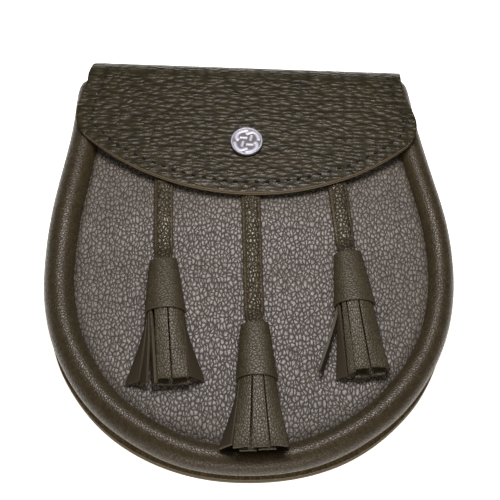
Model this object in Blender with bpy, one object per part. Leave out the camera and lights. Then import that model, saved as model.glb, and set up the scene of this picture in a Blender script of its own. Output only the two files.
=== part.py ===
"""Day sporran: a leather pouch lying on its back, with a snap flap, a padded edge roll and three tassels.

The back rests on Z = 0, the front faces +Z and the fold of the flap is at +Y. The functions measure Y from
the pouch's widest row, and main() then moves all of it so that the box's middle is at Y = 0.
"""

import math

import bmesh
import bpy
from mathutils import Matrix, Vector

# Plan of the pouch, measured outside the edge roll
BODY_WIDTH = 0.1846
SHOULDER_WIDTH = 0.1590
BODY_DEPTH = 0.0950  # from the widest row down to the bottom
BODY_RISE = 0.101  # from the widest row up to the ends of the roll
BODY_FULLNESS = 2.12  # 2 is an ellipse, more is squarer
MOUTH_SWAY = 0.0026  # the hand-sewn mouth sits this far to the left of the widest row's middle

# Leather and clearances
BACK_LEATHER = 0.0022
GUSSET_LEATHER = 0.0014
FRONT_LEATHER = 0.002
FLAP_LEATHER = 0.0016
LINING_LEATHER = 0.0012
LOOP_LEATHER = 0.0016
CLEARANCE = 0.0003

# Edge roll and gusset
ROLL_DIAMETER = 0.0130
SEAM_GROOVE = 0.003  # open height between the seam flange and the roll
SEAM_SETBACK = 0.0005  # the sewn edge lies this far inside the roll
SEAM_FLANGE = 0.0044
GUSSET_BOW = 0.0018

# Front panel
FRONT_CROWN = 0.003
CROWN_FULLNESS = 2.4  # how far the crown stays flat towards the seam
MOUTH_FLATNESS = 0.62  # share of the crown that is gone at the mouth
FRONT_SEAT = 0.0012  # the panel's face at the seam, above the middle of the roll
MOUTH_DROP = 0.015  # from the ends of the roll down to the panel's top edge

# Flap
FLAP_WIDTH = 0.160
FOLD_WIDTH = 0.1476
FLAP_TIP_DROP = 0.0264  # free edge below the snap
FLAP_TIP_RADIUS = 0.115
FLAP_CORNER_RADIUS = 0.014
FLAP_TAIL = 0.021
FOLD_SETBACK = 0.0049  # axis of the fold, below the ends of the roll
FLAP_SKEW = math.radians(2.4)  # the flap was sewn on a little askew

# Snap
SNAP_HEIGHT = 0.0611  # above the widest row
SNAP_DIAMETER = 0.0150
SNAP_CAP_HEIGHT = 0.0021
SNAP_POST_DIAMETER = 0.0042
SNAP_SOCKET_DIAMETER = 0.011
SNAP_SOCKET_HEIGHT = 0.0013
SNAP_BASE_DIAMETER = 0.012
KNOT_RELIEF = 0.00045
KNOT_BAND = 0.0013

# Tassels
THONG_WIDTH = 0.0088
THONG_LEATHER = 0.0025
THONG_PINCH = 0.2  # share of its width that is lost inside the collar
COLLAR_LENGTH = 0.0264
COLLAR_LEATHER = 0.0016
COLLAR_FLATNESS = 0.66  # height over width of the pressed cone
COLLAR_TOP_WIDTH = 0.0125
COLLAR_RIM_WIDTH = 0.0184
STRIP_LENGTH = 0.0297
STRIP_WIDTH = 0.0062
STRIP_LEATHER = 0.0013
HEAD_SHARE = 0.3  # the skirt's head fills this share of the collar

# Strap loops
LOOP_WIDTH = 0.024
LOOP_LENGTH = 0.044
LOOP_SPREAD = 0.096  # between the middles of the two loops
LOOP_ROW = 0.046  # middle of the loops above the widest row

ROLL_RADIUS = ROLL_DIAMETER / 2
STAND = max(FLAP_LEATHER, LOOP_LEATHER) + CLEARANCE  # lift of the upper back off the surface
FLANGE_BOTTOM = BACK_LEATHER + CLEARANCE
ROLL_HEIGHT = FLANGE_BOTTOM + GUSSET_LEATHER + SEAM_GROOVE + ROLL_RADIUS
LINING_BOTTOM = ROLL_HEIGHT + ROLL_RADIUS + STAND + CLEARANCE
FLAP_BOTTOM = LINING_BOTTOM + LINING_LEATHER + CLEARANCE
FLAP_TOP = FLAP_BOTTOM + FLAP_LEATHER
TAIL_BOTTOM = STAND - CLEARANCE - FLAP_LEATHER
FOLD_RADIUS = (FLAP_TOP - TAIL_BOTTOM) / 2
FOLD_AXIS = BODY_RISE - FOLD_SETBACK
FOLD_TOP = FOLD_AXIS + FOLD_RADIUS + FOLD_WIDTH / 2 * math.sin(FLAP_SKEW)  # at the raised corner
BACK_TOP = FOLD_AXIS - FOLD_WIDTH / 2 * math.sin(FLAP_SKEW) + 0.4 * FLAP_LEATHER
FRONT_TOP = BODY_RISE - MOUTH_DROP
FRONT_INSET = ROLL_DIAMETER + CLEARANCE
LINING_SETBACK = FLAP_LEATHER  # the lining stops this far before the fold

# The upper back lies on the flap's tail and the strap loops, and the leather sags to the surface below
DRAPE = {"from": 0.02, "to": 0.30}  # shares of BODY_RISE

# Each tassel: place of the collar's top, as shares of half the body's width and of its depth; the slope of
# its axis; where its thong starts, as a share of SNAP_HEIGHT, with the middle one below the snap's base;
# how much wider the ring of strips is at the tips, how many strips it has and by what share of a strip the
# ring is turned
TASSELS = (
    {
        "name": "left",
        "top_x": -0.410,
        "top_y": 0.006,
        "lean": 0.065,
        "start_x": -0.430,
        "start": 1.19,
        "spread": 2.15,
        "strips": 6,
        "turned_by": 0.0,
    },
    {
        "name": "centre",
        "top_x": 0.033,
        "top_y": -0.326,
        "lean": 0.035,
        "start_x": 0.010,
        "start": 0.826,
        "spread": 1.9,
        "strips": 6,
        "turned_by": 0.5,
    },
    {
        "name": "right",
        "top_x": 0.485,
        "top_y": 0.045,
        "lean": 0.085,
        "start_x": 0.413,
        "start": 1.19,
        "spread": 1.6,
        "strips": 6,
        "turned_by": 0.0,
    },
)

# A strip of a skirt: shares of its length, of the ring's size and of its width
STRIP_STATIONS = (
    {"along": -0.10, "out": 0.60, "width": 0.60},
    {"along": 0.04, "out": 0.80, "width": 0.75},
    {"along": 0.25, "out": 1.00, "width": 1.00},
    {"along": 0.50, "out": 1.03, "width": 1.00},
    {"along": 0.75, "out": 1.02, "width": 1.00},
    {"along": 1.00, "out": 0.96, "width": 1.00},
)
STRIP_SPAN = 0.125  # a strip clears what lies this share of its length before and after a station
STRIP_LEAN = 1.2  # slope of the side strips at their tips, which lie over outwards
TIP_STAGGER = 0.05  # upper strips end this share short, lower ones this share long

# Radius of the roll, which is turned in at its two ends: shares of its length from an end and of its radius
ROLL_ENDS = ((0.0, 0.58), (0.004, 0.74), (0.009, 0.87), (0.018, 0.96), (0.03, 1.0))

# Section of the gusset wall from flange to roll: share of its height and of GUSSET_BOW
GUSSET_SECTION = ((0.0, 0.0), (0.35, 0.8), (0.7, 0.9), (1.0, 0.4))

# Raised bars of the knot: middle and half length as shares of the cap's radius
KNOT_BARS = (
    {"x": -0.17, "y": 0.25, "half_x": 0.23, "half_y": 0.0},
    {"x": 0.21, "y": 0.18, "half_x": 0.0, "half_y": 0.22},
)
# Raised bands of the knot: radius and angle of each point, as shares of the cap's radius and in degrees
KNOT_BANDS = (
    ((0.40, 172), (0.62, 158), (0.73, 138), (0.76, 118), (0.76, 98), (0.80, 80)),
    ((0.47, 98), (0.62, 78), (0.66, 55), (0.68, 32), (0.74, 10), (0.80, -6)),
)

# sRGB colour, roughness and metallic value
FINISHES = {
    "grained_leather": ("#463f34", 0.45, 0.0),
    "panel_leather": ("#5c544c", 0.42, 0.0),
    "smooth_leather": ("#3d372d", 0.38, 0.0),
    "lining_leather": ("#3a3329", 0.6, 0.0),
    "tassel_leather": ("#4c453b", 0.5, 0.0),
    "silver_plate": ("#aaa7b0", 0.28, 1.0),
}


def material(name):
    """The Principled material of a finish, made once."""
    if name in bpy.data.materials:
        return bpy.data.materials[name]
    made = bpy.data.materials.new(name)
    made.use_nodes = True
    hex_colour, roughness, metallic = FINISHES[name]
    shader = made.node_tree.nodes["Principled BSDF"]
    channels = [int(hex_colour[i : i + 2], 16) / 255 for i in (1, 3, 5)]
    linear = [c / 12.92 if c <= 0.04045 else ((c + 0.055) / 1.055) ** 2.4 for c in channels]
    shader.inputs["Base Color"].default_value = (*linear, 1.0)
    shader.inputs["Roughness"].default_value = roughness
    shader.inputs["Metallic"].default_value = metallic
    return made


def add_object(name, bm, finish, smooth_angle=35):
    """Makes a named object of the bmesh, with outward faces and one material."""
    bmesh.ops.recalc_face_normals(bm, faces=bm.faces)
    mesh = bpy.data.meshes.new(name)
    bm.to_mesh(mesh)
    bm.free()
    mesh.shade_smooth()
    mesh.set_sharp_from_angle(angle=math.radians(smooth_angle))
    mesh.materials.append(material(finish))
    made = bpy.data.objects.new(name, mesh)
    bpy.context.scene.collection.objects.link(made)
    return made


def add_helper(name, bm, finish):
    """A cutter or a shape for a Boolean, which isn't a piece itself."""
    made = add_object(name, bm, finish)
    made.hide_render = True
    made.display_type = "WIRE"
    return made


def add_boolean(piece, other, operation):
    """Joins another mesh to the piece, or cuts it out."""
    modifier = piece.modifiers.new(f"{operation.lower()}_{other.name}", "BOOLEAN")
    modifier.operation = operation
    modifier.object = other
    modifier.use_self = operation == "UNION"


def loft(bm, rings, closed_ends=True):
    """Bridges rings of as many points each, in order, and caps both ends."""
    rows = [[bm.verts.new(point) for point in ring] for ring in rings]
    count = len(rows[0])
    for row, after in zip(rows, rows[1:]):
        for i in range(count):
            j = (i + 1) % count
            bm.faces.new((row[i], row[j], after[j], after[i]))
    if closed_ends:
        bm.faces.new(rows[0])
        bm.faces.new(tuple(reversed(rows[-1])))
    return rows


def ease(share):
    """A smooth step from 0 to 1."""
    share = min(max(share, 0.0), 1.0)
    return (1 - math.cos(math.pi * share)) / 2


def sway(y):
    """Sideways shift of the pouch's middle, to the left towards the mouth."""
    return -MOUTH_SWAY * max(y / BODY_RISE, 0.0) ** 2


def lift(y):
    """Height of the back's outer face over the surface."""
    start, end = DRAPE["from"] * BODY_RISE, DRAPE["to"] * BODY_RISE
    return STAND * ease((y - start) / (end - start))


def look_up(table, share):
    """Value at a share in rows of (share, value), in straight steps."""
    for (low, before), (high, after) in zip(table, table[1:]):
        if share <= high:
            return before + (after - before) * max(share - low, 0.0) / (high - low)
    return table[-1][1]


def body_outline(inset, top, rows_above=12, rows_below=17, narrowest=0.05):
    """Rows (y, half width) of the plan from the bottom up to the height top, moved inwards by inset."""
    half, depth, power = BODY_WIDTH / 2 - inset, BODY_DEPTH - inset, 2 / BODY_FULLNESS
    rows = []
    for i in range(rows_below):
        angle = math.pi / 2 * (1 - narrowest) * (1 - i / rows_below)
        rows.append((-depth * math.sin(angle) ** power, half * math.cos(angle) ** power))
    for i in range(rows_above + 1):
        y = top * i / rows_above
        narrowing = (BODY_WIDTH - SHOULDER_WIDTH) / 2 * ease(y / BODY_RISE)
        rows.append((y, half - narrowing))
    return rows


def sheet(rows, columns, underside, topside):
    """A leather sheet of rows (y, half width), columns in shares of that, and two heights at (x, y)."""
    bm = bmesh.new()
    rings = []
    for y, half in rows:
        places = [half * u + sway(y) for u in columns]
        upper = [Vector((x, y, topside(x, y))) for x in places]
        lower = [Vector((x, y, underside(x, y))) for x in reversed(places)]
        rings.append(upper + lower)
    loft_strip(bm, rings, len(columns))
    return bm


def loft_strip(bm, rings, count):
    """A loft whose two ends are closed by a row of quads each, so that a curved end stays clean."""
    rows = loft(bm, rings, closed_ends=False)
    for row in (rows[0], rows[-1]):
        for i in range(count - 1):
            bm.faces.new((row[i], row[i + 1], row[-2 - i], row[-1 - i]))


def front_face(x, y):
    """Height of the front panel's face: crowned in the middle, low at the seam and near the mouth."""
    across = 1 - min(abs(x - sway(y)) / (BODY_WIDTH / 2 - FRONT_INSET), 1.0) ** CROWN_FULLNESS
    if y > 0:
        along = 1 - MOUTH_FLATNESS * ease(y / FRONT_TOP)
    else:
        along = 1 - min(-y / (BODY_DEPTH - FRONT_INSET), 1.0) ** CROWN_FULLNESS
    return ROLL_HEIGHT + FRONT_SEAT + FRONT_CROWN * across * along + lift(y)


def inset_at(x, y):
    """Distance of a place on the plan from the outside of the roll, inwards."""
    if y > 0:
        narrowing = (BODY_WIDTH - SHOULDER_WIDTH) / 2 * ease(y / BODY_RISE)
        return BODY_WIDTH / 2 - narrowing - abs(x - sway(y))
    across, along = abs(2 * x / BODY_WIDTH), abs(y / BODY_DEPTH)
    return BODY_DEPTH * (1 - (across**BODY_FULLNESS + along**BODY_FULLNESS) ** (1 / BODY_FULLNESS))


def rest_height(x, y):
    """Height of what lies on the front at a place: on the panel, or on the roll's upper side."""
    from_middle = inset_at(x, y) - ROLL_RADIUS
    roll = ROLL_HEIGHT + math.sqrt(max(ROLL_RADIUS**2 - from_middle**2, 0.0)) + lift(y)
    return max(front_face(x, y), roll if abs(from_middle) < ROLL_RADIUS else 0.0) + CLEARANCE


def make_back_panel():
    """The flat back, whose edge is the seam's and shows below the roll."""
    rows = body_outline(SEAM_SETBACK, BACK_TOP)
    bm = sheet(rows, (-1.0, 1.0), lambda x, y: lift(y), lambda x, y: lift(y) + BACK_LEATHER)
    return add_object("back_panel", bm, "grained_leather")


def edge_path(inset, top):
    """Points of the plan from the left end round to the right end, with their outward directions."""
    rows = body_outline(inset, top, rows_below=20, narrowest=0.0)
    left = [Vector((sway(y) - half, y, 0.0)) for y, half in reversed(rows)]
    points = left + [Vector((sway(y) + half, y, 0.0)) for y, half in rows[1:]]
    outward = []
    for i, point in enumerate(points):
        along = points[min(i + 1, len(points) - 1)] - points[max(i - 1, 0)]
        outward.append(Vector((along.y, -along.x, 0.0)).normalized())
    return points, outward


def make_gusset():
    """Seam flange on the back panel, and a wall that bows in on its way up to the roll."""
    bm = bmesh.new()
    points, outward = edge_path(SEAM_SETBACK, BACK_TOP)
    wall_height = SEAM_GROOVE - CLEARANCE
    flange_top = FLANGE_BOTTOM + GUSSET_LEATHER
    outer = [(-SEAM_FLANGE - GUSSET_BOW * bow, flange_top + wall_height * up) for up, bow in GUSSET_SECTION]
    inner = [(n - GUSSET_LEATHER, z) for n, z in outer]
    inner[0] = (inner[0][0], FLANGE_BOTTOM)
    section = [(0.0, FLANGE_BOTTOM), (0.0, flange_top), *outer, *reversed(inner)]
    rings = [
        [point + out * n + Vector((0, 0, z + lift(point.y))) for n, z in section]
        for point, out in zip(points, outward)
    ]
    loft(bm, rings)
    return add_object("gusset", bm, "smooth_leather")


def make_edge_roll(sides=16):
    """The padded roll: round, and turned in at the ends of the mouth."""
    bm = bmesh.new()
    points, outward = edge_path(ROLL_RADIUS, BODY_RISE)
    lengths = [0.0]
    for before, point in zip(points, points[1:]):
        lengths.append(lengths[-1] + (point - before).length)
    rings = []
    for point, out, length in zip(points, outward, lengths):
        share = min(length, lengths[-1] - length) / lengths[-1]
        radius = ROLL_RADIUS * look_up(ROLL_ENDS, share)
        centre = point + Vector((0, 0, ROLL_HEIGHT + lift(point.y)))
        ring = []
        for i in range(sides):
            angle = 2 * math.pi * i / sides
            up = Vector((0, 0, radius * math.sin(angle)))
            ring.append(centre + out * radius * math.cos(angle) + up)
        rings.append(ring)
    loft(bm, rings)
    return add_object("edge_roll", bm, "smooth_leather")


def make_front_panel():
    """The crowned front, which ends at the inner side of the roll and at the mouth."""
    rows = body_outline(FRONT_INSET, FRONT_TOP)
    columns = (-1.0, -0.86, -0.64, -0.36, 0.0, 0.36, 0.64, 0.86, 1.0)
    bm = sheet(rows, columns, lambda x, y: front_face(x, y) - FRONT_LEATHER, front_face)
    return add_object("front_panel", bm, "panel_leather")


def flap_half_widths():
    """Rows (y, half width) of the flap from its tip up to the fold."""
    tip = SNAP_HEIGHT - FLAP_TIP_DROP
    arc_y = tip + FLAP_TIP_RADIUS
    corner_x = FLAP_WIDTH / 2 - FLAP_CORNER_RADIUS
    reach = FLAP_TIP_RADIUS - FLAP_CORNER_RADIUS
    corner_y = arc_y - math.sqrt(reach**2 - corner_x**2)
    joined = math.asin(corner_x / reach)
    rows = []
    for share in (0.06, 0.2, 0.36, 0.52, 0.68, 0.84):
        angle = joined * share
        rows.append((arc_y - FLAP_TIP_RADIUS * math.cos(angle), FLAP_TIP_RADIUS * math.sin(angle)))
    for i in range(6):
        angle = joined + (math.pi / 2 - joined) * i / 5
        y = corner_y - FLAP_CORNER_RADIUS * math.cos(angle)
        rows.append((y, corner_x + FLAP_CORNER_RADIUS * math.sin(angle)))
    narrowing = (FLAP_WIDTH - FOLD_WIDTH) / 2
    for share in (0.25, 0.5, 0.75, 1.0):
        rows.append((corner_y + (FOLD_AXIS - corner_y) * share, FLAP_WIDTH / 2 - narrowing * ease(share)))
    return rows


def set_on_body(bm):
    """Sways what belongs to the flap with the pouch, and turns it about the snap."""
    for vert in bm.verts:
        vert.co.x += sway(vert.co.y)
    turn = Matrix.Rotation(-FLAP_SKEW, 3, "Z")
    bmesh.ops.rotate(bm, cent=(sway(SNAP_HEIGHT), SNAP_HEIGHT, 0), matrix=turn, verts=bm.verts)


def flat_ring(y, half, inner, outer):
    """One row of a flap's ply: its outer face first, then its inner face."""
    return [(-half, y, outer), (half, y, outer), (half, y, inner), (-half, y, inner)]


def make_flap():
    """Outer ply: the flap, the fold over the mouth and the tail under the back panel."""
    rings = [flat_ring(y, half, FLAP_BOTTOM, FLAP_TOP) for y, half in flap_half_widths()]
    half = FOLD_WIDTH / 2
    middle = TAIL_BOTTOM + FOLD_RADIUS
    steps = 12
    for i in range(1, steps + 1):
        angle = math.pi / 2 - math.pi * i / steps
        ring = []
        for x, radius in ((-half, FOLD_RADIUS), (half, FOLD_RADIUS)):
            ring.append((x, FOLD_AXIS + radius * math.cos(angle), middle + radius * math.sin(angle)))
        inner = FOLD_RADIUS - FLAP_LEATHER
        for x in (half, -half):
            ring.append((x, FOLD_AXIS + inner * math.cos(angle), middle + inner * math.sin(angle)))
        rings.append(ring)
    tail_top = TAIL_BOTTOM + FLAP_LEATHER
    rings.append(flat_ring(FOLD_AXIS - FLAP_TAIL, half, tail_top, TAIL_BOTTOM))
    bm = bmesh.new()
    loft(bm, rings)
    set_on_body(bm)
    flap = add_object("flap", bm, "grained_leather")
    add_boolean(flap, post_hole("flap_post_hole"), "DIFFERENCE")
    return flap


def make_lining():
    """Inner ply, flush with the outer one and ending just before the fold."""
    rows = [row for row in flap_half_widths() if row[0] < FOLD_AXIS - LINING_SETBACK]
    rows.append((FOLD_AXIS - LINING_SETBACK, FOLD_WIDTH / 2))
    top = LINING_BOTTOM + LINING_LEATHER
    rings = [flat_ring(y, half, LINING_BOTTOM, top) for y, half in rows]
    bm = bmesh.new()
    loft(bm, rings)
    set_on_body(bm)
    lining = add_object("flap_lining", bm, "lining_leather")
    add_boolean(lining, post_hole("lining_post_hole"), "DIFFERENCE")
    return lining


def turned(profile, segments=24):
    """A solid turned about Z from (radius, z) points that start and end on the axis."""
    bm = bmesh.new()
    bottom = bm.verts.new((0, 0, profile[0][1]))
    top = bm.verts.new((0, 0, profile[-1][1]))
    rings = []
    for radius, z in profile[1:-1]:
        angles = [2 * math.pi * i / segments for i in range(segments)]
        rings.append([bm.verts.new((radius * math.cos(a), radius * math.sin(a), z)) for a in angles])
    for row, after in zip(rings, rings[1:]):
        for i in range(segments):
            j = (i + 1) % segments
            bm.faces.new((row[i], row[j], after[j], after[i]))
    for i in range(segments):
        j = (i + 1) % segments
        bm.faces.new((bottom, rings[0][j], rings[0][i]))
        bm.faces.new((top, rings[-1][i], rings[-1][j]))
    return bm


def post_hole(name):
    """Cutter for the snap's post, through both plies of the flap."""
    radius = SNAP_POST_DIAMETER / 2 + CLEARANCE
    low, high = LINING_BOTTOM - FLAP_LEATHER, FLAP_TOP + FLAP_LEATHER
    bm = turned([(0, low), (radius, low), (radius, high), (0, high)], segments=12)
    bmesh.ops.translate(bm, vec=(sway(SNAP_HEIGHT), SNAP_HEIGHT, 0), verts=bm.verts)
    return add_helper(name, bm, "lining_leather")


def knot_relief(face):
    """Raised bars and bands of the knot, twice round, on a cap whose face is at the height face."""
    bm = bmesh.new()
    radius = SNAP_DIAMETER / 2
    low, high = face - KNOT_RELIEF, face + KNOT_RELIEF
    side = KNOT_BAND / 2
    for turn in (0.0, math.pi):
        about = Matrix.Rotation(turn, 3, "Z")
        for bar in KNOT_BARS:
            half_x = max(bar["half_x"] * radius, side)
            half_y = max(bar["half_y"] * radius, side)
            x, y = bar["x"] * radius, bar["y"] * radius
            rings = []
            for z, share in ((low, 1.0), (high, 0.8)):
                dx, dy = half_x - side * (1 - share), half_y - side * (1 - share)
                corners = ((-dx, -dy), (dx, -dy), (dx, dy), (-dx, dy))
                rings.append([about @ Vector((x + a, y + b, z)) for a, b in corners])
            loft(bm, rings)
        for band in KNOT_BANDS:
            path = []
            for share, degrees in band:
                angle = math.radians(degrees)
                path.append(Vector((math.cos(angle), math.sin(angle), 0)) * share * radius)
            rings = []
            for i, point in enumerate(path):
                along = path[min(i + 1, len(path) - 1)] - path[max(i - 1, 0)]
                across = Vector((-along.y, along.x, 0)).normalized() * side
                lower, upper = Vector((0, 0, low)), Vector((0, 0, high))
                ring = (point - across + lower, point + across + lower)
                ring += (point + across * 0.75 + upper, point - across * 0.75 + upper)
                rings.append([about @ corner for corner in ring])
            loft(bm, rings)
    return bm


def make_snap():
    """Cap on the flap, with its post and socket in one piece, and the stud that it presses on."""
    radius, post, socket = SNAP_DIAMETER / 2, SNAP_POST_DIAMETER / 2, SNAP_SOCKET_DIAMETER / 2
    cap_bottom = FLAP_TOP + CLEARANCE
    rim = cap_bottom + SNAP_CAP_HEIGHT
    face = rim - KNOT_RELIEF * 1.2
    socket_top = LINING_BOTTOM - CLEARANCE
    socket_bottom = socket_top - SNAP_SOCKET_HEIGHT
    profile = [
        (0, socket_bottom),
        (socket, socket_bottom),
        (socket, socket_top),
        (post, socket_top),
        (post, cap_bottom),
        (radius * 0.97, cap_bottom),
        (radius, cap_bottom + SNAP_CAP_HEIGHT * 0.35),
        (radius * 0.97, rim - SNAP_CAP_HEIGHT * 0.12),
        (radius * 0.93, rim),
        (radius * 0.89, rim),
        (radius * 0.85, face),
        (0, face),
    ]
    cap = add_object("snap_cap", turned(profile, 32), "silver_plate")
    knot = add_helper("knot_relief", knot_relief(face), "silver_plate")
    add_boolean(cap, knot, "UNION")
    base_radius = SNAP_BASE_DIAMETER / 2
    base_bottom = max(front_face(0, SNAP_HEIGHT + base_radius * s) for s in (-1, 0, 1)) + CLEARANCE
    base_top = socket_bottom - CLEARANCE
    profile = [(0, base_bottom), (base_radius, base_bottom)]
    profile += [(base_radius * 0.9, base_top), (0, base_top)]
    base = add_object("snap_base", turned(profile, 20), "silver_plate")
    for piece in (cap, knot, base):
        piece.location = (sway(SNAP_HEIGHT), SNAP_HEIGHT, 0)
        piece.rotation_euler.z = -FLAP_SKEW


def tassel_places(tassel):
    """Places of the thong's start, the collar's top and rim and the tips, on the plan."""
    half = BODY_WIDTH / 2
    top = Vector((tassel["top_x"] * half, tassel["top_y"] * BODY_DEPTH, 0))
    start = Vector((tassel["start_x"] * half, tassel["start"] * SNAP_HEIGHT, 0))
    down = Vector((math.sin(tassel["lean"]), -math.cos(tassel["lean"]), 0))
    return start, top, top + down * COLLAR_LENGTH, down


def make_thong(tassel):
    """A flat thong on the front panel, which climbs into the middle of its collar and is pinched there."""
    start, top, rim, down = tassel_places(tassel)
    points = [start.lerp(top, i / 8) for i in range(9)] + [top.lerp(rim, share) for share in (0.15, 0.3)]
    bm = bmesh.new()
    rings = []
    for point in points:
        before_collar = (point - top).dot(-down)
        along = top - start if before_collar > 0 else down
        near = ease(1 - before_collar / THONG_WIDTH)
        across = Vector((-along.y, along.x, 0)).normalized() * THONG_WIDTH / 2 * (1 - THONG_PINCH * near)
        seat = max(rest_height((point + across * s).x, (point + across * s).y) for s in (-1, 0, 1))
        climb = (COLLAR_TOP_WIDTH * COLLAR_FLATNESS - THONG_LEATHER) / 2
        lower = Vector((0, 0, seat + climb * near))
        upper = lower + Vector((0, 0, THONG_LEATHER))
        left, right = point - across, point + across
        rings.append([left + lower, right + lower, right + upper, left + upper])
    loft(bm, rings)
    return add_object(f"thong_{tassel['name']}", bm, "tassel_leather")


def ellipse_ring(centre, across, width, height, sides, seat):
    """Points of an upright ellipse that stands on the height seat."""
    ring = []
    for i in range(sides):
        angle = 2 * math.pi * (i + 0.5) / sides
        up = seat + height / 2 * (1 + math.sin(angle))
        ring.append(centre + across * (width / 2 * math.cos(angle)) + Vector((0, 0, up)))
    return ring


def make_collar(tassel, sides=14):
    """The pressed cone of leather round the end of the thong, open at both ends."""
    start, top, rim, down = tassel_places(tassel)
    across = Vector((-down.y, down.x, 0))
    bm = bmesh.new()
    walls = []
    for thickness in (0.0, COLLAR_LEATHER):
        rows = []
        for share in (0.0, 0.33, 0.66, 1.0):
            centre = top.lerp(rim, share)
            width = COLLAR_TOP_WIDTH + (COLLAR_RIM_WIDTH - COLLAR_TOP_WIDTH) * share
            height = width * COLLAR_FLATNESS
            seat = rest_height(centre.x, centre.y) + thickness
            size = (width - 2 * thickness, height - 2 * thickness)
            ring = ellipse_ring(centre, across, *size, sides, seat)
            rows.append([bm.verts.new(point) for point in ring])
        walls.append(rows)
    outer, inner = walls
    for rows in walls:
        for row, after in zip(rows, rows[1:]):
            for i in range(sides):
                j = (i + 1) % sides
                bm.faces.new((row[i], row[j], after[j], after[i]))
    for out_row, in_row in ((outer[0], inner[0]), (outer[-1], inner[-1])):
        for i in range(sides):
            j = (i + 1) % sides
            bm.faces.new((out_row[i], out_row[j], in_row[j], in_row[i]))
    return add_object(f"collar_{tassel['name']}", bm, "tassel_leather")


def girth_angles(width, height, count, turned_by):
    """Angles that part an ellipse into equal stretches, the first one turned_by of a stretch round."""
    steps = 240
    lengths = [0.0]
    for i in range(steps):
        angle = 2 * math.pi * (i + 0.5) / steps
        lengths.append(lengths[-1] + math.hypot(width * math.sin(angle), height * math.cos(angle)))
    angles = []
    for k in range(count):
        wanted = lengths[-1] * (k + turned_by) / count
        angles.append(2 * math.pi * sum(length < wanted for length in lengths) / steps)
    return angles


def make_skirt(tassel):
    """The fringe: a rolled head inside the collar, and round it a ring of strips that open out."""
    start, top, rim, down = tassel_places(tassel)
    across = Vector((-down.y, down.x, 0))
    play = COLLAR_LEATHER + CLEARANCE
    taper = (COLLAR_RIM_WIDTH - COLLAR_TOP_WIDTH) * HEAD_SHARE
    width = COLLAR_RIM_WIDTH - taper - 2 * play
    height = (COLLAR_RIM_WIDTH - taper) * COLLAR_FLATNESS - 2 * play
    rings = []
    for along in (-HEAD_SHARE * COLLAR_LENGTH, 0.0, STRIP_LEATHER):
        centre = rim + down * along
        seat = rest_height(centre.x, centre.y) + play
        rings.append(ellipse_ring(centre, across, width, height, 12, seat))
    bm = bmesh.new()
    loft(bm, rings)
    head = add_object(f"skirt_{tassel['name']}", bm, "tassel_leather")
    bm = bmesh.new()
    root = Vector((width - STRIP_LEATHER, height - STRIP_LEATHER)) / 2
    for angle in girth_angles(root.x, root.y, tassel["strips"], tassel["turned_by"]):
        length = STRIP_LENGTH * (1 - TIP_STAGGER * math.sin(angle))
        rings = []
        for station in STRIP_STATIONS:
            opened = max(station["along"], 0.0)
            sideways = abs(math.cos(angle))
            spread = station["out"] + (tassel["spread"] - 1) * opened**1.2 * sideways**2
            lean_out = STRIP_LEAN * opened * sideways
            reach = root.x * spread
            out = Vector((math.cos(angle) * reach, math.sin(angle) * root.y * station["out"]))
            face = Vector((-math.sin(angle) * reach - lean_out * root.y, math.cos(angle) * root.y))
            face.normalize()
            thick = Vector((-face.y, face.x)) * STRIP_LEATHER / 2
            face *= STRIP_WIDTH / 2 * station["width"]
            centre = rim + down * length * station["along"]
            ground = rest_height(centre.x, centre.y)
            for side in (-1, 0, 1) if opened else ():
                for ahead in (-STRIP_SPAN, 0, STRIP_SPAN):
                    place = centre + across * (out.x + face.x * side) + down * length * ahead
                    ground = max(ground, rest_height(place.x, place.y))
            middle = ground + play * (1 - opened) + height / 2 + out.y
            if opened:  # no corner lies below what carries the strip
                middle = max(middle, ground + abs(face.y) + abs(thick.y))
            ring = []
            for a, b in ((-1, -1), (1, -1), (1, 1), (-1, 1)):
                offset = face * a + thick * b
                ring.append(centre + across * (out.x + offset.x) + Vector((0, 0, middle + offset.y)))
            rings.append(ring)
        loft(bm, rings)
    strips = add_helper(f"strips_{tassel['name']}", bm, "tassel_leather")
    add_boolean(head, strips, "UNION")
    return head


def make_strap_loop(name, x):
    """A strip of leather across the belt strap's way, sewn down at both ends and pressed flat."""
    bm = bmesh.new()
    bmesh.ops.create_cube(bm, size=1.0)
    bmesh.ops.scale(bm, vec=(LOOP_WIDTH, LOOP_LENGTH, LOOP_LEATHER), verts=bm.verts)
    upright = [edge for edge in bm.edges if abs(edge.verts[0].co.z - edge.verts[1].co.z) > 0]
    corner = {"offset": LOOP_WIDTH * 0.14, "segments": 3, "profile": 0.5, "affect": "EDGES"}
    bmesh.ops.bevel(bm, geom=upright, material=-1, **corner)
    loop = add_object(name, bm, "smooth_leather")
    loop.location = (x, LOOP_ROW, STAND - CLEARANCE - LOOP_LEATHER / 2)
    return loop


def main():
    for old in list(bpy.data.objects):
        bpy.data.objects.remove(old)
    make_back_panel()
    make_gusset()
    make_edge_roll()
    make_front_panel()
    make_flap()
    make_lining()
    make_snap()
    for tassel in TASSELS:
        make_thong(tassel)
        make_collar(tassel)
        make_skirt(tassel)
    make_strap_loop("strap_loop_left", -LOOP_SPREAD / 2)
    make_strap_loop("strap_loop_right", LOOP_SPREAD / 2)
    origin = bpy.data.objects.new("origin", None)
    bpy.context.scene.collection.objects.link(origin)
    origin.location.y = (BODY_DEPTH - FOLD_TOP) / 2
    for piece in bpy.data.objects:
        if piece != origin:
            piece.parent = origin


main()
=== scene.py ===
"""A day sporran of dark grained leather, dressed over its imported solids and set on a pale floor."""

import math

import bmesh
import bpy
from mathutils import Matrix, Vector, noise


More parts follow.
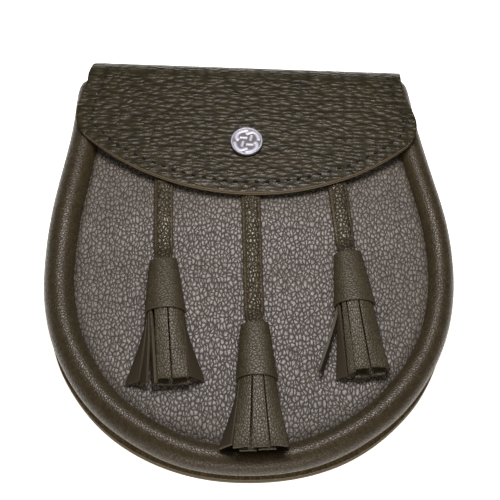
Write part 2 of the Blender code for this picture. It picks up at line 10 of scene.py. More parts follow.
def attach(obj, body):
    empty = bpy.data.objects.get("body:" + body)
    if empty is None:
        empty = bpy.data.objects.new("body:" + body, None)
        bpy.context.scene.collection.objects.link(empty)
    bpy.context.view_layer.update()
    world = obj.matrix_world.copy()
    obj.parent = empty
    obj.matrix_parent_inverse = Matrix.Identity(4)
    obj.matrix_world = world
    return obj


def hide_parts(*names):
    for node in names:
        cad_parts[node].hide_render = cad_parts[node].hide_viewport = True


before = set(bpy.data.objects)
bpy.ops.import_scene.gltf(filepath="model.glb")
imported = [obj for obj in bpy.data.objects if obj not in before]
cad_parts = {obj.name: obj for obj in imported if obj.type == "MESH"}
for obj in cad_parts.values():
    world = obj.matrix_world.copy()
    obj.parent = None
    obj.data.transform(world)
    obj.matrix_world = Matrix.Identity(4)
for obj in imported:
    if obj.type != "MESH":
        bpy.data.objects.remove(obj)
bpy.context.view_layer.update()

# Back panel. The real one is a single piece of cowhide, 2.2 mm thick, cut to the pouch's plan and
# burnished along its edge. The gusset and the front hang on the seam that runs round it.
MM = 0.001
WIDEST_ROW = -8.395 * MM  # Y of the plan's widest row; the plan below counts Y from that row
BODY_WIDTH, SHOULDER_WIDTH = 184.6 * MM, 159.0 * MM
BODY_DEPTH, BODY_RISE, BODY_FULLNESS = 95.0 * MM, 101.0 * MM, 2.12
MOUTH_SWAY = 2.6 * MM
STAND, DRAPE_START, DRAPE_SPAN = 1.9 * MM, 0.02, 0.28  # the drape is in shares of BODY_RISE
BACK_LEATHER, BACK_TOP, SEAM_SETBACK = 2.2 * MM, 93.65 * MM, 0.5 * MM
SIDE_POINTS, FOOT_POINTS = 80, 400  # of the plan's outline, before they are spaced evenly
UP, DOWN = Vector((0, 0, 1)), Vector((0, 0, -1))


def ease(share):
    """A smooth step from 0 to 1."""
    share = min(max(share, 0.0), 1.0)
    return (1 - math.cos(math.pi * share)) / 2


def look_up(table, share):
    """Value at a share in rows of (share, value), eased from row to row."""
    for (low, before), (high, after) in zip(table, table[1:]):
        if share <= high:
            return before + (after - before) * ease((share - low) / (high - low))
    return table[-1][1]


def between(table, share):
    """A point at a share of the way through a table of points."""
    at = share * (len(table) - 1)
    k = min(int(at), len(table) - 2)
    return [a + (b - a) * (at - k) for a, b in zip(table[k], table[k + 1])]


def sway(y):
    """The pouch's middle drifts to the left towards the mouth."""
    return -MOUTH_SWAY * max(y / BODY_RISE, 0.0) ** 2


def lift(y):
    """The upper back lies on the flap's tail and the strap loops; below, it sags to the surface."""
    return STAND * ease((y / BODY_RISE - DRAPE_START) / DRAPE_SPAN)


def ripple(x, y, size, seed=0.0):
    """Gentle unevenness from -1 to 1 over waves of about that size."""
    return noise.noise((x / size, y / size, seed))


def half_width(y):
    """Half the width of the pouch above its widest row, where it narrows towards the shoulders."""
    return BODY_WIDTH / 2 - (BODY_WIDTH - SHOULDER_WIDTH) / 2 * ease(y / BODY_RISE)


def plan_edge(inset, top, steps):
    """Evenly spaced points round the plan, from the mouth's left end by the bottom to its right end."""
    power = 2 / BODY_FULLNESS
    half, depth = BODY_WIDTH / 2 - inset, BODY_DEPTH - inset
    points = []
    for i in range(SIDE_POINTS):
        y = top * (1 - i / SIDE_POINTS)
        points.append(Vector((sway(y) - half_width(y) + inset, y, 0)))
    for i in range(FOOT_POINTS + 1):
        angle = math.pi * i / FOOT_POINTS
        x, y = math.cos(angle), math.sin(angle)
        points.append(Vector((-math.copysign(abs(x) ** power, x) * half, -depth * y**power, 0)))
    for i in range(SIDE_POINTS):
        y = top * (i + 1) / SIDE_POINTS
        points.append(Vector((sway(y) + half_width(y) - inset, y, 0)))
    return even(points, steps)


def even(points, steps):
    """The same path in points at even distances, with the direction to its right hand at each."""
    lengths = [0.0]
    for before, point in zip(points, points[1:]):
        lengths.append(lengths[-1] + (point - before).length)
    path, at = [], 0
    for i in range(steps + 1):
        wanted = lengths[-1] * i / steps
        while at < len(points) - 2 and lengths[at + 1] < wanted:
            at += 1
        span = lengths[at + 1] - lengths[at]
        path.append(points[at].lerp(points[at + 1], min((wanted - lengths[at]) / span, 1.0)))
    outward = []
    for i in range(steps + 1):
        along = path[min(i + 1, steps)] - path[max(i - 1, 0)]
        outward.append(Vector((along.y, -along.x, 0)).normalized())
    return path, outward


def shaped_grid(across, along, place, flat=None):
    """A grid whose points (u, v), from 0 to 1, go where place says. flat gives the same points on the
    hide before it was bent, in metres, which the grain follows."""
    bm = bmesh.new()
    bmesh.ops.create_grid(bm, x_segments=across, y_segments=along, size=0.5)
    if flat:
        hide = bm.loops.layers.uv.new("hide")
        for face in bm.faces:
            for loop in face.loops:
                loop[hide].uv = flat(loop.vert.co.x + 0.5, loop.vert.co.y + 0.5)
    for vert in bm.verts:
        vert.co = place(vert.co.x + 0.5, vert.co.y + 0.5)
    bmesh.ops.remove_doubles(bm, verts=bm.verts, dist=1e-6)
    return bm


def join(whole, shape):
    """Moves a shape into a larger one."""
    mesh = bpy.data.meshes.new("shape")
    shape.to_mesh(mesh)
    shape.free()
    whole.from_mesh(mesh)
    bpy.data.meshes.remove(mesh)


def finish(name, bm, material, replaced=(), wall=0.0, rounding=0.0, cut=None):
    """Makes a piece of the shape, moved so that Y counts from the middle of the box, with its wall,
    rounded edges and finish. cut is the material of the edges where the hide was cut."""
    bmesh.ops.translate(bm, vec=(0, WIDEST_ROW, 0), verts=bm.verts)
    mesh = bpy.data.meshes.new(name)
    bm.to_mesh(mesh)
    bm.free()
    mesh.shade_smooth()
    mesh.materials.append(material)
    piece = bpy.data.objects.new(name, mesh)
    bpy.context.scene.collection.objects.link(piece)
    if wall:
        solid = piece.modifiers.new("wall", "SOLIDIFY")
        solid.thickness, solid.offset, solid.use_even_offset = wall, -1, True
        if cut:
            mesh.materials.append(cut)
            solid.material_offset_rim = 1
    if rounding:
        edge = piece.modifiers.new("rounding", "BEVEL")
        edge.width, edge.segments, edge.limit_method = rounding, 3, "ANGLE"
        edge.angle_limit, edge.material = math.radians(50), -1
    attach(piece, "root")
    if replaced:
        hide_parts(*replaced)
    return piece


def linear(hex_colour):
    """An sRGB hex colour as linear RGBA."""
    channels = [int(hex_colour[i : i + 2], 16) / 255 for i in (1, 3, 5)]
    return [c / 12.92 if c <= 0.04045 else ((c + 0.055) / 1.055) ** 2.4 for c in channels] + [1.0]


def new_material(name):
    """A node material, its node tree and its shader."""
    made = bpy.data.materials.new(name)
    made.use_nodes = True
    return made, made.node_tree, made.node_tree.nodes["Principled BSDF"]


def add_node(tree, kind, settings=(), **links):
    """Adds a shader node. settings name its properties or sockets, links its sockets by the name's words."""
    made = tree.nodes.new(kind)
    for key, value in dict(settings).items():
        if isinstance(key, str) and hasattr(made, key):
            setattr(made, key, value)
        else:
            made.inputs[key].default_value = value
    for key, source in links.items():
        socket = int(key[1:]) if key[0] == "i" and key[1:].isdigit() else key.replace("_", " ")
        tree.links.new(source, made.inputs[socket])
    return made


def unevenness(tree, where, size, detail):
    """Soft noise of that size in mm."""
    at = add_node(tree, "ShaderNodeMapping", {"Scale": [1000 / size] * 3}, Vector=where)
    made = add_node(tree, "ShaderNodeTexNoise", {"Scale": 1.0, "Detail": detail}, Vector=at.outputs[0])
    return made.outputs[0]


def leather(name, hide, crease_shade, grain, stretch=(1, 1), depth=0.3, roundness=0.5, gloss=0.4, fine=0.7,
            waviness=0.6, rows=1.0, crease_width=0.3, coords="UV", turn=0.0, sheen="#d8cbb4", level=0.34):
    """Cowhide: grain is the width of its cells in mm, stretch draws them out, depth is in mm. rows is 1
    where the cells lie at random and less where they stay in rows. sheen is the tint that the dye and wax
    give its highlights, and level their strength."""
    made, tree, shader = new_material(name)
    where = add_node(tree, "ShaderNodeTexCoord").outputs[coords]
    # Creases part the grain into cells, drawn in two dimensions, so that all are as deep as each other
    turned = add_node(tree, "ShaderNodeMapping", {"Rotation": (0, 0, turn)}, Vector=where)
    scale = (1000 / grain / stretch[0], 1000 / grain / stretch[1], 1)
    cells = add_node(tree, "ShaderNodeMapping", {"Scale": scale}, Vector=turned.outputs[0])
    wander = add_node(tree, "ShaderNodeTexNoise", {"Scale": 0.45, "Detail": 3.0}, Vector=cells.outputs[0])
    shift = add_node(tree, "ShaderNodeVectorMath", {"operation": "SCALE", "Scale": waviness * 2},
                     Vector=wander.outputs["Color"])
    bent = add_node(tree, "ShaderNodeVectorMath", {"operation": "ADD"}, i0=cells.outputs[0],
                    i1=shift.outputs[0])
    fray = add_node(tree, "ShaderNodeTexNoise", {"Scale": 2.2, "Detail": 1.0}, Vector=cells.outputs[0])
    frayed = add_node(tree, "ShaderNodeVectorMath", {"operation": "SCALE", "Scale": 0.35},
                      Vector=fray.outputs["Color"])
    bent = add_node(tree, "ShaderNodeVectorMath", {"operation": "ADD"}, i0=bent.outputs[0],
                    i1=frayed.outputs[0])
    pattern = {"voronoi_dimensions": "2D", "Scale": 1.0, "Randomness": rows}
    edge = add_node(tree, "ShaderNodeTexVoronoi", {"feature": "DISTANCE_TO_EDGE", **pattern},
                    Vector=bent.outputs[0])
    cell = add_node(tree, "ShaderNodeTexVoronoi", pattern, Vector=bent.outputs[0])
    # Each cell is a pillow between a flat top and a dome, and some are higher than others
    flat_top = add_node(tree, "ShaderNodeMapRange", {"interpolation_type": "SMOOTHSTEP",
                        "From Max": crease_width}, Value=edge.outputs["Distance"])
    dome = add_node(tree, "ShaderNodeMapRange", {"interpolation_type": "SMOOTHSTEP", "From Min": 0.8,
                    "From Max": 0.08}, Value=cell.outputs["Distance"])
    pillow = add_node(tree, "ShaderNodeMix", {"Factor": roundness}, A=flat_top.outputs[0], B=dome.outputs[0])
    lot = add_node(tree, "ShaderNodeSeparateXYZ", Vector=cell.outputs["Color"])
    uneven = add_node(tree, "ShaderNodeMapRange", {"To Min": 0.65, "To Max": 1.15}, Value=lot.outputs["X"])
    raised = add_node(tree, "ShaderNodeMath", {"operation": "MULTIPLY"}, i0=pillow.outputs[0],
                      i1=uneven.outputs[0])
    # Pores lie over all of it
    height = add_node(tree, "ShaderNodeMath", {"operation": "MULTIPLY_ADD", 1: 0.3},
                      i0=unevenness(tree, where, fine, 2.0), i2=raised.outputs[0])
    bump = add_node(tree, "ShaderNodeBump", {"Strength": 1.0, "Distance": depth * MM},
                    Height=height.outputs[0])
    # The creases are painted darker, as painted shade, and the dye took unevenly, from cell to cell and over
    # wider patches
    tone = add_node(tree, "ShaderNodeMixRGB", {"Color1": linear(crease_shade), "Color2": linear(hide)},
                    Fac=pillow.outputs[0])
    shade = add_node(tree, "ShaderNodeMapRange", {"To Min": 0.8, "To Max": 1.2},
                     Value=unevenness(tree, where, 16, 2.0))
    each = add_node(tree, "ShaderNodeMapRange", {"To Min": 0.8, "To Max": 1.2}, Value=lot.outputs["Y"])
    shades = add_node(tree, "ShaderNodeMath", {"operation": "MULTIPLY"}, i0=shade.outputs[0],
                      i1=each.outputs[0])
    colour = add_node(tree, "ShaderNodeVectorMath", {"operation": "SCALE"}, i0=tone.outputs[0],
                      Scale=shades.outputs[0])
    # Wear polishes the tops, and the creases stay dull
    rough = add_node(tree, "ShaderNodeMapRange", {"To Min": gloss + 0.25, "To Max": gloss},
                     Value=pillow.outputs[0])
    waxed = add_node(tree, "ShaderNodeMapRange", {"To Min": level * 0.6, "To Max": level},
                     Value=pillow.outputs[0])
    tree.links.new(colour.outputs[0], shader.inputs["Base Color"])
    tree.links.new(rough.outputs[0], shader.inputs["Roughness"])
    tree.links.new(bump.outputs[0], shader.inputs["Normal"])
    shader.inputs["IOR"].default_value = 1.5
    shader.inputs["Specular Tint"].default_value = linear(sheen)
    tree.links.new(waxed.outputs[0], shader.inputs["Specular IOR Level"])
    return made


# Chrome-tanned cowhide, embossed with a long wrinkled grain: low ridges about 2 mm apart, drawn out
# across the pouch, that catch thin lines of light
wrinkled_hide = leather("wrinkled_cowhide", "#252013", "#1c180c", 2.0, stretch=(2.5, 1.0), depth=0.34,
                        roundness=0.9, gloss=0.26, waviness=0.6, rows=0.85, sheen="#d9d5da", level=0.2)
back_hide = leather("wrinkled_cowhide_back", "#282214", "#1e190d", 2.0, stretch=(2.3, 1.0), depth=0.31,
                    roundness=0.9, gloss=0.3, waviness=0.55, rows=0.8, coords="Object", sheen="#d9d5da",
                    level=0.25)


def plain(name, colour, roughness, scale, depth):
    """A dull surface with a fine unevenness of that scale in mm."""
    made, tree, shader = new_material(name)
    speck = unevenness(tree, add_node(tree, "ShaderNodeTexCoord").outputs["Object"], scale, 3.0)
    shade = add_node(tree, "ShaderNodeMapRange", {"To Min": 0.8, "To Max": 1.2}, Value=speck)
    tone = add_node(tree, "ShaderNodeVectorMath", {"operation": "SCALE", 0: linear(colour)[:3]},
                    Scale=shade.outputs[0])
    bump = add_node(tree, "ShaderNodeBump", {"Distance": depth * MM}, Height=speck)
    tree.links.new(tone.outputs[0], shader.inputs["Base Color"])
    tree.links.new(bump.outputs[0], shader.inputs["Normal"])
    shader.inputs["Roughness"].default_value = roughness
    shader.inputs["Specular IOR Level"].default_value = 0.2
    return made


# Thread: a waxed linen cord that sinks into the leather, so only dark dashes show
thread = plain("waxed_thread", "#0f0c08", 0.75, 0.4, 0.05)
# Cut edge: the hide's fibres, dyed and burnished with wax, a little paler and duller than its grain
cut_edge = plain("burnished_cut_edge", "#453c2d", 0.6, 0.35, 0.06)

STITCH_CLEARANCE = 0.01 * MM  # the lowest thread lies this far above the surface


def stitch_row(name, path, up, pitch, length=3.0 * MM, radius=0.55 * MM, sink=0.0):
    """A row of stitches along evenly spaced points, each a short thread that dips in at both ends."""
    total = sum((b - a).length for a, b in zip(path, path[1:]))
    count = round(total / pitch)
    whole = bmesh.new()
    for i in range(count):
        at = (i + 0.5) / count * (len(path) - 1)
        k = min(int(at), len(path) - 2)
        middle = path[k].lerp(path[k + 1], at - k)
        along = (path[k + 1] - path[k]).normalized()
        side = up.cross(along)

        def thread_at(u, v):
            angle, far = 2 * math.pi * u, (v - 0.5) * length
            thick = radius * math.sin(math.pi * min(max(v, 0.02), 0.98)) ** 0.5
            if v in (0.0, 1.0):
                thick = 0.0
            rise = radius * (math.sin(math.pi * v) * 1.3 - 0.9) - sink
            sideways, upwards = thick * math.cos(angle), rise + thick * math.sin(angle)
            return middle + along * far + side * sideways + up * upwards

        join(whole, shaped_grid(6, 6, thread_at))
    bmesh.ops.recalc_face_normals(whole, faces=whole.faces)
    lowest = min(v.co.z for v in whole.verts)
    bmesh.ops.translate(whole, vec=(0, 0, max(STITCH_CLEARANCE - lowest, 0.0)), verts=whole.verts)
    return finish(name, whole, thread)


# The back was cut a little wider than the front, most at its foot: share of the way round, mm
FOOT_REACH = ((0.0, 0.0), (0.24, 0.0), (0.30, 0.7), (0.38, 1.3), (0.5, 1.6), (0.58, 1.8), (0.66, 1.0),
              (0.74, 0.0), (1.0, 0.0))
EDGE_STEPS = 200
back_edge, back_out = plan_edge(SEAM_SETBACK, BACK_TOP, EDGE_STEPS)
back_edge = [point + out * look_up(FOOT_REACH, k / EDGE_STEPS) * MM
             for k, (point, out) in enumerate(zip(back_edge, back_out))]
fan_centre = Vector((sway(BACK_TOP), BACK_TOP, 0))


def back_at(u, v):
    point = fan_centre.lerp(Vector(between(back_edge, u)), v)
    return Vector((point.x, point.y, lift(point.y) + BACK_LEATHER))


back = shaped_grid(EDGE_STEPS, 28, back_at)
bmesh.ops.reverse_faces(back, faces=back.faces)  # its inner side up, so that the wall grows down from it
finish("back_panel_hide", back, back_hide, ["back_panel"], wall=BACK_LEATHER,
       rounding=0.4 * MM, cut=cut_edge)

SEAM_INSET = 2.4 * MM
seam = [point - out * SEAM_INSET + UP * lift(point.y) for point, out in zip(back_edge, back_out)]
stitch_row("back_seam_stitches", seam, DOWN, 4.8 * MM)

# Gusset. A strip of thin cowhide is sewn flat to the back panel as a flange, then turns up to the
# edge roll. It bows in between them, so a dark groove runs round the pouch below the roll.
GUSSET_LEATHER, GROOVE = 1.4 * MM, 3.0 * MM
ROLL_RADIUS = 6.5 * MM
FLANGE_BOTTOM = 2.5 * MM
ROLL_HEIGHT = FLANGE_BOTTOM + GUSSET_LEATHER + GROOVE + ROLL_RADIUS
# The roll sags outwards and down where the pouch is fullest, at its foot and on the right: share, mm
FOOT_SAG = ((0.0, 0.0), (0.12, 0.0), (0.22, -0.3), (0.30, 0.0), (0.38, 0.7), (0.46, 1.8), (0.54, 1.8),
            (0.62, 0.8), (0.70, 0.5), (0.80, 0.8), (0.90, 0.0), (1.0, 0.0))
# Its section from the edge over the flange up to the roll: outwards from the back's edge and up, in mm
GUSSET_SECTION = ((0.0, 0.0), (-2.2, 0.0), (-4.2, 0.0), (-5.0, 0.35), (-5.6, 1.2), (-5.7, 2.2), (-5.3, 3.2),
                  (-4.9, 4.0))
GUSSET_PUCKER, PUCKERS = 0.25, 60  # mm, and how many run round the pouch
# Fine smooth cowhide: nearly even, with a soft gleam. The gusset's is painted paler, as painted light in the
# shaded groove below the roll
smooth_hide = leather("smooth_cowhide", "#332b1c", "#231d12", 1.2, depth=0.05, gloss=0.4)
gusset_hide = leather("gusset_cowhide_painted_light", "#5b4f3a", "#453b2b", 1.4, depth=0.06, gloss=0.5)


def gusset_at(u, v):
    k = round(v * (len(back_edge) - 1))
    out, up = between(GUSSET_SECTION, u)
    pucker = GUSSET_PUCKER * ripple(k / len(back_edge) * PUCKERS, 0.5, 1.0) * min(up, 1.0)
    sag = (look_up(FOOT_SAG, v) - look_up(FOOT_REACH, v)) * min(up / 4, 1.0)
    point = back_edge[k] + back_out[k] * (out + pucker + sag) * MM
    return point + UP * (FLANGE_BOTTOM + GUSSET_LEATHER + up * MM + lift(point.y))


gusset = shaped_grid(28, EDGE_STEPS, gusset_at, flat=lambda u, v: (u * 10 * MM, v * 460 * MM))
bmesh.ops.recalc_face_normals(gusset, faces=gusset.faces)
finish("gusset_hide", gusset, gusset_hide, ["gusset"], wall=GUSSET_LEATHER,
       rounding=0.3 * MM, cut=cut_edge)

# Edge roll. The front's piping is a soft hide wrapped over a thick cord, and both ends are turned
# in beside the mouth. The hide is stretched on the outside and puckers a little along its seams.
ROLL_ENDS = ((0.0, 0.30), (0.0015, 0.50), (0.004, 0.72), (0.009, 0.87), (0.018, 0.96), (0.03, 1.0))
ROLL_STEPS = 320
roll_path, roll_out = plan_edge(ROLL_RADIUS, BODY_RISE, ROLL_STEPS)
ROLL_LENGTH = sum((b - a).length for a, b in zip(roll_path, roll_path[1:]))
ROLL_PUCKER, PUCKER_LENGTH = 0.10 * MM, 3.2 * MM
# Its thickness round the pouch, as a share of the cord's: fuller on the left, slimmer on the right
ROLL_FULLNESS = ((0.0, 1.0), (0.12, 1.05), (0.32, 1.07), (0.41, 1.05), (0.47, 0.96), (0.52, 0.94),
                 (0.58, 0.99), (0.64, 0.99), (0.72, 0.90), (0.88, 0.89), (1.0, 0.96))


def roll_at(u, v):
    k = round(v * (len(roll_path) - 1))
    angle, length = 2 * math.pi * u, v * ROLL_LENGTH
    out, up = math.cos(angle), math.sin(angle)
    full = ROLL_RADIUS * look_up(ROLL_FULLNESS, v)
    sag = look_up(FOOT_SAG, v) * MM
    radius = 0.0 if v in (0.0, 1.0) else full * look_up(ROLL_ENDS, min(v, 1 - v))
    radius *= 1 + 0.016 * noise.noise((length / (24 * MM), out, up))
    pucker = ROLL_PUCKER * max(-out, 0.0) ** 2 * noise.noise((length / PUCKER_LENGTH, 2.0, 1.0))
    centre = roll_path[k] + roll_out[k] * (ROLL_RADIUS - full + sag)
    centre.z = ROLL_HEIGHT - sag * 0.5 + lift(roll_path[k].y)
    return centre + roll_out[k] * (radius * out) + UP * (radius * up + pucker)


roll = shaped_grid(36, ROLL_STEPS, roll_at,
                   flat=lambda u, v: (u * 2 * math.pi * ROLL_RADIUS, v * ROLL_LENGTH))
bmesh.ops.recalc_face_normals(roll, faces=roll.faces)
# Glove-soft hide: a fine pebble that opens into slanting wrinkles where it bends
roll_hide = leather("piping_cowhide", "#2b2417", "#241e12", 1.0, stretch=(1.9, 0.9), depth=0.09, gloss=0.28,
                    fine=0.5, turn=0.5, sheen="#dcd5d2", level=0.34)
edge_roll = finish("edge_roll_hide", roll, roll_hide, ["edge_roll"])

# Front panel. A softer hide with a round pebbled grain, crowned over the filled pouch and sewn into
# the roll all round. Its top edge lies free below the flap and forms the mouth.
FRONT_INSET, FRONT_TOP, FRONT_LEATHER = 13.3 * MM, 86.0 * MM, 2.0 * MM
FRONT_SEAT, FRONT_CROWN, CROWN_FULLNESS, MOUTH_FLATNESS = 1.2 * MM, 3.0 * MM, 2.4, 0.62
TURN_START, TURN_DOWN, TURN_FREE = 0.965, 1.0 * MM, 0.02  # of its edge into the seam, none at the mouth
FRONT_WAVE, FRONT_WAVE_LENGTH = 0.22 * MM, 16 * MM
CLEARANCE = 0.3 * MM


def front_face(x, y):
    """Height of the front's face: crowned in the middle, low at the seam and near the mouth."""
    across = 1 - min(abs(x - sway(y)) / (BODY_WIDTH / 2 - FRONT_INSET), 1.0) ** CROWN_FULLNESS
    if y > 0:
        along = 1 - MOUTH_FLATNESS * ease(y / FRONT_TOP)
    else:
        along = 1 - min(-y / (BODY_DEPTH - FRONT_INSET), 1.0) ** CROWN_FULLNESS
    return ROLL_HEIGHT + FRONT_SEAT + FRONT_CROWN * across * along + lift(y)


def inset_at(x, y):
    """Distance of a place on the plan from the outside of the roll, inwards."""
    if y > 0:
        return half_width(y) - abs(x - sway(y))
    across, along = abs(2 * x / BODY_WIDTH), abs(y / BODY_DEPTH)
    return BODY_DEPTH * (1 - (across**BODY_FULLNESS + along**BODY_FULLNESS) ** (1 / BODY_FULLNESS))


def rest_height(x, y):
    """Height of what lies on the front at a place: on the panel, or on the roll's upper side."""
    from_middle = inset_at(x, y) - ROLL_RADIUS
    roll_top = ROLL_HEIGHT + math.sqrt(max(ROLL_RADIUS**2 - from_middle**2, 0.0)) + lift(y)
    return max(front_face(x, y), roll_top if abs(from_middle) < ROLL_RADIUS else 0.0) + CLEARANCE


# How far in the seam lies from the pouch's outline: share of the way round, mm
SEAM_INSETS = ((0.0, 13.2), (0.12, 13.8), (0.26, 13.4), (0.34, 12.6), (0.42, 11.2), (0.50, 9.8),
               (0.58, 10.2), (0.66, 10.9), (0.80, 10.4), (0.90, 11.4), (1.0, 12.4))
FRONT_STEPS = 220
front_edge, front_out = plan_edge(FRONT_INSET, FRONT_TOP, FRONT_STEPS)
front_edge = [point + out * (FRONT_INSET - look_up(SEAM_INSETS, k / FRONT_STEPS) * MM)
              for k, (point, out) in enumerate(zip(front_edge, front_out))]
front_middle = Vector((sway(FRONT_TOP), FRONT_TOP, 0))


def front_at(u, v):
    k = round(u * (len(front_edge) - 1))
    point = front_middle.lerp(front_edge[k], v)
    turned = max((v - TURN_START) / (1 - TURN_START), 0.0) ** 2 * min(u, 1 - u, TURN_FREE) / TURN_FREE
    wave = FRONT_WAVE * ripple(point.x, point.y, FRONT_WAVE_LENGTH, 3.0) * min((1 - v) * 8, 1)
    sunk = look_up(FOOT_SAG, u) * 0.5 * MM * v**4
    return Vector((point.x, point.y, front_face(point.x, point.y) - TURN_DOWN * turned - sunk + wave))


front = shaped_grid(FRONT_STEPS, 60, front_at)
bmesh.ops.reverse_faces(front, faces=front.faces)  # its face up, so that the wall grows down from it
# Milled cowhide: pebbles about 1.5 by 2.3 mm with soft tops, which catch the light, and creases painted
# darker as painted shade
# Its colour is painted lighter than the flap's, as painted light where the crowned panel catches the lamp
pebbled_hide_painted_light = leather("milled_cowhide_painted_light", "#49433b", "#282217", 1.8, stretch=(0.84, 1.3), depth=0.25,
                       roundness=0.4, gloss=0.45, waviness=0.85, crease_width=0.25, coords="Object",
                       sheen="#dcd9e6", level=0.66)
finish("front_panel_hide", front, pebbled_hide_painted_light, ["front_panel"], wall=FRONT_LEATHER,
       rounding=0.4 * MM)

# Flap. Two plies glued and sewn along the free edge: the outer one goes on over the mouth and under
# the back, where its tail is sewn down, and the lining ends before the fold.
FLAP_LEATHER, LINING_LEATHER = 1.6 * MM, 1.2 * MM
# Flap's cut edge: both plies show there, painted paler than the edges elsewhere, as painted light on the edge
# band
flap_edge_painted_light = plain("flap_cut_edge_painted_light", "#6f6451", 0.6, 0.35, 0.06)
FLAP_WIDTH, FOLD_WIDTH, TIP_RADIUS, CORNER_RADIUS = 160 * MM, 147.6 * MM, 115 * MM, 14 * MM
SNAP_HEIGHT, TIP_DROP, FLAP_TAIL = 61.1 * MM, 26.4 * MM, 21 * MM
FOLD_AXIS = BODY_RISE - 4.9 * MM
FLAP_SKEW = math.radians(2.4)
# How far the left side stands out at the start of the fold and on it, and how quickly it changes over
LEFT_SPLAY, SPLAY_SPAN = (1.5 * MM, -1.8 * MM), 0.11
FOLD_START, FOLD_SPAN, TAIL_SPAN = 0.5, 0.32, 0.18  # shares of the flap's grid
LINING_END, LINING_INSET = 0.983, 0.1 * MM
EDGE_DROOP, FLAP_WAVE, FLAP_WAVE_LENGTH = 0.45 * MM, 0.30 * MM, 30 * MM
DISH_DEPTH, DISH_RADIUS = 0.35 * MM, 11 * MM  # the snap draws the flap down round it
LINING_BOTTOM = ROLL_HEIGHT + ROLL_RADIUS + STAND + CLEARANCE
FLAP_BOTTOM = LINING_BOTTOM + LINING_LEATHER + CLEARANCE
FLAP_TOP = FLAP_BOTTOM + FLAP_LEATHER
FOLD_RADIUS = FLAP_TOP / 2

arc_y = SNAP_HEIGHT - TIP_DROP + TIP_RADIUS
corner_x = FLAP_WIDTH / 2 - CORNER_RADIUS
reach = TIP_RADIUS - CORNER_RADIUS
corner_y = arc_y - math.sqrt(reach**2 - corner_x**2)
joined = math.asin(corner_x / reach)
CORNER_POINTS, TIP_POINTS, FLAP_STEPS = 40, 160, 160


def free_edge(steps):
    """The flap's free edge from its widest place on the left round the tip to the right."""
    corner = []
    for i in range(CORNER_POINTS + 1):
        angle = math.pi / 2 + (joined - math.pi / 2) * i / CORNER_POINTS
        x = -corner_x - CORNER_RADIUS * math.sin(angle)
        corner.append(Vector((x, corner_y - CORNER_RADIUS * math.cos(angle), 0)))
    tip = []
    for i in range(1, TIP_POINTS):
        angle = -joined + 2 * joined * i / TIP_POINTS
        tip.append(Vector((TIP_RADIUS * math.sin(angle), arc_y - TIP_RADIUS * math.cos(angle), 0)))
    return even(corner + tip + [Vector((-p.x, p.y, 0)) for p in reversed(corner)], steps)


edge_path, edge_out = free_edge(FLAP_STEPS)


def on_body(point):
    """The flap sways with the pouch and was sewn on a little askew, turned about the snap."""
    centre = Vector((sway(SNAP_HEIGHT), SNAP_HEIGHT, 0))
    swayed = point + Vector((sway(point.y), 0, 0)) - centre
    return Matrix.Rotation(-FLAP_SKEW, 3, "Z") @ swayed + centre


def flap_at(u, v, face, inset=0.0, end=1.0):
    """A place on a ply of the flap: u across, v from the free edge to the fold, and on to the tail."""
    k = round(u * (len(edge_path) - 1))
    start = edge_path[k] - edge_out[k] * inset
    across = 2 * u - 1
    turning = min(max((v - FOLD_START) / SPLAY_SPAN, 0.0), 1.0)
    splay = (LEFT_SPLAY[0] * (1 - turning) + LEFT_SPLAY[1] * turning) * max(-across, 0.0) ** 3
    fold_x = across * (FOLD_WIDTH / 2 - inset) - splay
    if v <= FOLD_START:
        share = v / FOLD_START
        bent = share + (ease(share) - share) * abs(across) ** 6
        y = start.y + (FOLD_AXIS * end - start.y) * share
        x = start.x + (fold_x - start.x) * bent
        near = max(1 - share * 6, 0.0)
        dish = DISH_DEPTH * math.exp(-((x**2 + (y - SNAP_HEIGHT) ** 2) / DISH_RADIUS**2))
        free = min(near + 0.4, 1.0) * min((1 - share) * 5, 1)
        wave = FLAP_WAVE * ripple(x, y, FLAP_WAVE_LENGTH, 8.0) * free
        return on_body(Vector((x, y, face - EDGE_DROOP * near**2 - dish + wave)))
    radius = FOLD_RADIUS - (FLAP_TOP - face)
    if v <= FOLD_START + FOLD_SPAN:
        angle = math.pi / 2 - math.pi * (v - FOLD_START) / FOLD_SPAN
        y, z = FOLD_AXIS + radius * math.cos(angle), FOLD_RADIUS + radius * math.sin(angle)
        return on_body(Vector((fold_x, y, z)))
    on_tail = (v - FOLD_START - FOLD_SPAN) / TAIL_SPAN
    return on_body(Vector((fold_x, FOLD_AXIS - FLAP_TAIL * on_tail, FOLD_RADIUS - radius)))


def flap_flat(u, v):
    """The same place on the flap's leather before it was folded."""
    start = edge_path[round(u * (len(edge_path) - 1))]
    across = (2 * u - 1) * FOLD_WIDTH / 2
    if v <= FOLD_START:
        share = v / FOLD_START
        return start.x + (across - start.x) * share, start.y + (FOLD_AXIS - start.y) * share
    bend = math.pi * FOLD_RADIUS * min((v - FOLD_START) / FOLD_SPAN, 1.0)
    on_tail = max((v - FOLD_START - FOLD_SPAN) / TAIL_SPAN, 0.0)
    return across, FOLD_AXIS + bend + FLAP_TAIL * on_tail


flap = shaped_grid(FLAP_STEPS, 100, lambda u, v: flap_at(u, v, FLAP_TOP), flat=flap_flat)
finish("flap_hide", flap, wrinkled_hide, ["flap"], wall=FLAP_LEATHER, rounding=0.3 * MM,
       cut=flap_edge_painted_light)
# Skiver: the thin grain split that lines the flap, dull and nearly smooth
lining_hide = leather("lining_cowhide", "#2a241a", "#1d1811", 1.1, depth=0.05, gloss=0.5)
lining_top = LINING_BOTTOM + LINING_LEATHER
lining = shaped_grid(FLAP_STEPS, 50, lambda u, v: flap_at(u, v / 2, lining_top, LINING_INSET, LINING_END),
                     flat=lambda u, v: flap_flat(u, v / 2))
finish("flap_lining_hide", lining, lining_hide, ["flap_lining"], wall=LINING_LEATHER,
       rounding=0.25 * MM, cut=flap_edge_painted_light)

